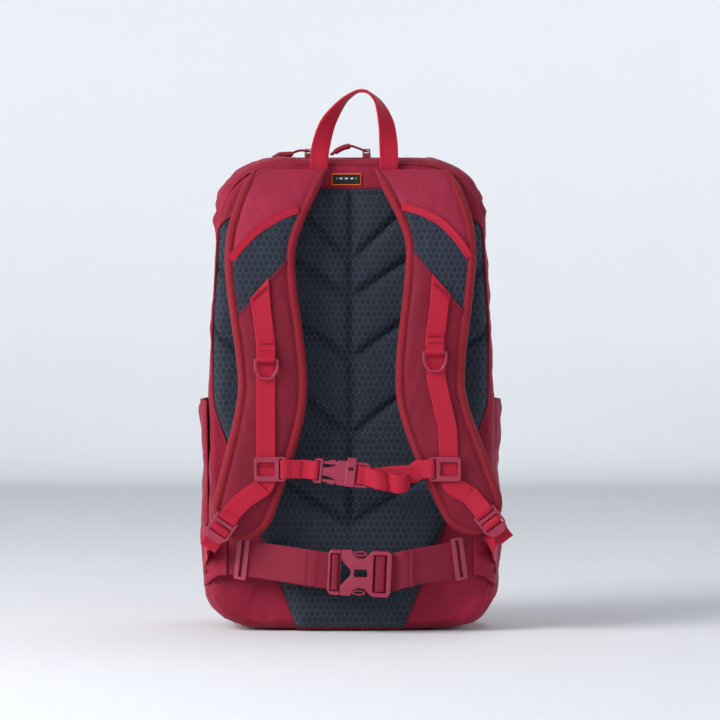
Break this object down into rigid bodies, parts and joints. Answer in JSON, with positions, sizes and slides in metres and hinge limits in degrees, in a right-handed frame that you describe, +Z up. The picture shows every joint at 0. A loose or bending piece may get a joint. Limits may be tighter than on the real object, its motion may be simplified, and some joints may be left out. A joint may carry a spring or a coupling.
{
  "type": "daypack",
  "caption": "Daypack with a zipped drop-down front cover, padded mesh back, curved shoulder straps, sternum strap, webbing hip belt and looped grab handle.",
  "frame": {"origin": "on the ground, under the middle of the pack's overall box", "axes": "+Z up, -Y out of the harness side towards the wearer, +X to the right when looking at the harness side"},
  "size_m": [0.3212, 0.2613, 0.5717],
  "materials": {
    "pack_fabric": "crimson woven nylon, slight sheen",
    "pocket_fabric": "crimson stretch woven",
    "air_mesh": "slate grey spacer mesh with a honeycomb pattern",
    "stiffener": "matt sheet",
    "lining": "thin light grey lining",
    "foam": "closed-cell foam under fabric",
    "binding": "folded edge tape",
    "webbing": "bright red woven tape",
    "belt_webbing": "crimson woven tape",
    "buckle": "moulded acetal, satin",
    "zip_tape": "woven tape with coil teeth",
    "zip_metal": "enamelled die casting",
    "cord": "braided cord with a moulded grip",
    "label": "woven patch, dark field in an orange border"
  },
  "bodies": {
    "root": {"main_shell": "pack_fabric", "base_panel": "pack_fabric", "back_pad": "air_mesh", "frame_sheet": "stiffener", "hydration_sleeve": "lining", "side_pocket_left": "pocket_fabric", "side_pocket_right": "pocket_fabric", "front_pocket": "pack_fabric", "pocket_zip_tape": "zip_tape", "zip_tape_shell": "zip_tape", "label_patch": "label", "strap_wing_left": "pack_fabric", "strap_wing_right": "pack_fabric", "hip_wing_left": "pack_fabric", "hip_wing_right": "pack_fabric", "lower_web_left": "webbing", "lower_web_right": "webbing"},
    "front_cover": {"front_cover": "pack_fabric", "zip_tape_cover": "zip_tape"},
    "main_slider_left": {"main_slider_left": "zip_metal"},
    "main_slider_right": {"main_slider_right": "zip_metal"},
    "main_pull_left": {"main_pull_left": "cord"},
    "main_pull_right": {"main_pull_right": "cord"},
    "pocket_slider": {"pocket_slider": "zip_metal"},
    "pocket_pull": {"pocket_pull": "cord"},
    "grab_handle": {"grab_handle": "webbing"},
    "harness": {"strap_foam_left": "foam", "strap_cover_left": "pack_fabric", "strap_lining_left": "air_mesh", "strap_binding_left": "binding", "strap_webbing_left": "webbing", "d_ring_loop_left": "webbing", "strap_foam_right": "foam", "strap_cover_right": "pack_fabric", "strap_lining_right": "air_mesh", "strap_binding_right": "binding", "strap_webbing_right": "webbing", "d_ring_loop_right": "webbing"},
    "sternum": {"sternum_slider_left": "buckle", "sternum_slider_right": "buckle", "sternum_web_left": "webbing", "sternum_web_right": "webbing", "sternum_buckle_male": "buckle"},
    "sternum_female": {"sternum_buckle_female": "buckle", "sternum_web_tail": "webbing"},
    "sternum_prong_upper": {"sternum_prong_upper": "buckle"},
    "sternum_prong_lower": {"sternum_prong_lower": "buckle"},
    "d_ring_left": {"d_ring_left": "buckle"},
    "d_ring_right": {"d_ring_right": "buckle"},
    "ladder_lock_left": {"ladder_lock_left": "buckle"},
    "ladder_lock_right": {"ladder_lock_right": "buckle"},
    "hip_belt": {"hip_web_left": "belt_webbing", "hip_web_right": "belt_webbing", "hip_buckle_male": "buckle"},
    "hip_female": {"hip_buckle_female": "buckle"},
    "hip_prong_upper": {"hip_prong_upper": "buckle"},
    "hip_prong_lower": {"hip_prong_lower": "buckle"},
    "hip_keeper_left": {"hip_keeper_left": "buckle"},
    "hip_keeper_right": {"hip_keeper_right": "buckle"}
  },
  "joints": [
    {"name": "front_cover_hinge", "type": "hinge", "parent": "root", "child": "front_cover", "pos_m": [0, 0.092, 0.246], "axis": [-1, 0, 0], "range_deg": [0, 95]},
    {"name": "main_slider_left_slide", "type": "slide", "parent": "root", "child": "main_slider_left", "axis": [-1, 0, 0], "range_m": [0, 0.03]},
    {"name": "main_slider_right_slide", "type": "slide", "parent": "root", "child": "main_slider_right", "axis": [1, 0, 0], "range_m": [0, 0.056]},
    {"name": "main_pull_left_hinge", "type": "hinge", "parent": "main_slider_left", "child": "main_pull_left", "pos_m": [-0.045, 0.014, 0.5081], "axis": [0, 1, 0], "range_deg": [0, 120]},
    {"name": "main_pull_right_hinge", "type": "hinge", "parent": "main_slider_right", "child": "main_pull_right", "pos_m": [0.017, 0.014, 0.5081], "axis": [0, 1, 0], "range_deg": [0, 120]},
    {"name": "pocket_slider_slide", "type": "slide", "parent": "root", "child": "pocket_slider", "axis": [1, 0, 0], "range_m": [0, 0.11]},
    {"name": "pocket_pull_hinge", "type": "hinge", "parent": "pocket_slider", "child": "pocket_pull", "pos_m": [-0.06, 0.1276, 0.184], "axis": [1, 0, 0], "range_deg": [0, 120]},
    {"name": "grab_handle_hinge", "type": "hinge", "parent": "root", "child": "grab_handle", "pos_m": [0, -0.07, 0.493], "axis": [1, 0, 0], "range_deg": [-45, 75]},
    {"name": "harness_swing", "type": "hinge", "parent": "root", "child": "harness", "pos_m": [0, -0.072, 0.488], "axis": [-1, 0, 0], "range_deg": [0, 25], "deforming": ["lower_web_left", "lower_web_right"]},
    {"name": "sternum_height", "type": "slide", "parent": "harness", "child": "sternum", "axis": [0, -0.0158, 0.9999], "range_m": [0, 0.04]},
    {"name": "sternum_unclip", "type": "slide", "parent": "sternum", "child": "sternum_female", "axis": [0.9945, 0, -0.1045], "range_m": [0, 0.026], "deforming": ["sternum_web_right"]},
    {"name": "sternum_prong_upper_flex", "type": "hinge", "parent": "sternum", "child": "sternum_prong_upper", "pos_m": [-0.02799, -0.1234, 0.1813], "axis": [0, 1, 0], "range_deg": [0, 19]},
    {"name": "sternum_prong_lower_flex", "type": "hinge", "parent": "sternum", "child": "sternum_prong_lower", "pos_m": [-0.02994, -0.1234, 0.1628], "axis": [0, -1, 0], "range_deg": [0, 19]},
    {"name": "d_ring_left_swing", "type": "hinge", "parent": "harness", "child": "d_ring_left", "pos_m": [-0.0875, -0.12654, 0.288], "axis": [-1, 0, 0], "range_deg": [0, 100]},
    {"name": "d_ring_right_swing", "type": "hinge", "parent": "harness", "child": "d_ring_right", "pos_m": [0.088, -0.12666, 0.296], "axis": [-1, 0, 0], "range_deg": [0, 100]},
    {"name": "ladder_lock_left_tilt", "type": "hinge", "parent": "harness", "child": "ladder_lock_left", "pos_m": [-0.12766, -0.1175, 0.12223], "axis": [-0.8241, 0, 0.5664], "range_deg": [0, 30]},
    {"name": "ladder_lock_right_tilt", "type": "hinge", "parent": "harness", "child": "ladder_lock_right", "pos_m": [0.13914, -0.1195, 0.12885], "axis": [-0.7902, 0, -0.6129], "range_deg": [0, 30]},
    {"name": "hip_belt_swing", "type": "hinge", "parent": "root", "child": "hip_belt", "pos_m": [0, -0.076, 0.081], "axis": [-1, 0, 0], "range_deg": [0, 22]},
    {"name": "hip_unclip", "type": "slide", "parent": "hip_belt", "child": "hip_female", "axis": [0.999, 0, -0.0436], "range_m": [0, 0.026], "deforming": ["hip_web_right"]},
    {"name": "hip_prong_upper_flex", "type": "hinge", "parent": "hip_belt", "child": "hip_prong_upper", "pos_m": [-0.00934, -0.1135, 0.08504], "axis": [0, 1, 0], "range_deg": [0, 23]},
    {"name": "hip_prong_lower_flex", "type": "hinge", "parent": "hip_belt", "child": "hip_prong_lower", "pos_m": [-0.01102, -0.1135, 0.04668], "axis": [0, -1, 0], "range_deg": [0, 23]},
    {"name": "hip_keeper_left_slide", "type": "slide", "parent": "hip_belt", "child": "hip_keeper_left", "axis": [0.9373, -0.3293, -0.114], "range_m": [0, 0.035]},
    {"name": "hip_keeper_right_slide", "type": "slide", "parent": "hip_belt", "child": "hip_keeper_right", "axis": [-0.9201, -0.3648, -0.1428], "range_m": [0, 0.035]}
  ],
  "couplings": [
    {"joint": "sternum_prong_upper_flex", "follows": "sternum_unclip", "rad_per_m": 12},
    {"joint": "sternum_prong_lower_flex", "follows": "sternum_unclip", "rad_per_m": 12},
    {"joint": "hip_prong_upper_flex", "follows": "hip_unclip", "rad_per_m": 14.7},
    {"joint": "hip_prong_lower_flex", "follows": "hip_unclip", "rad_per_m": 14.7}
  ]
}
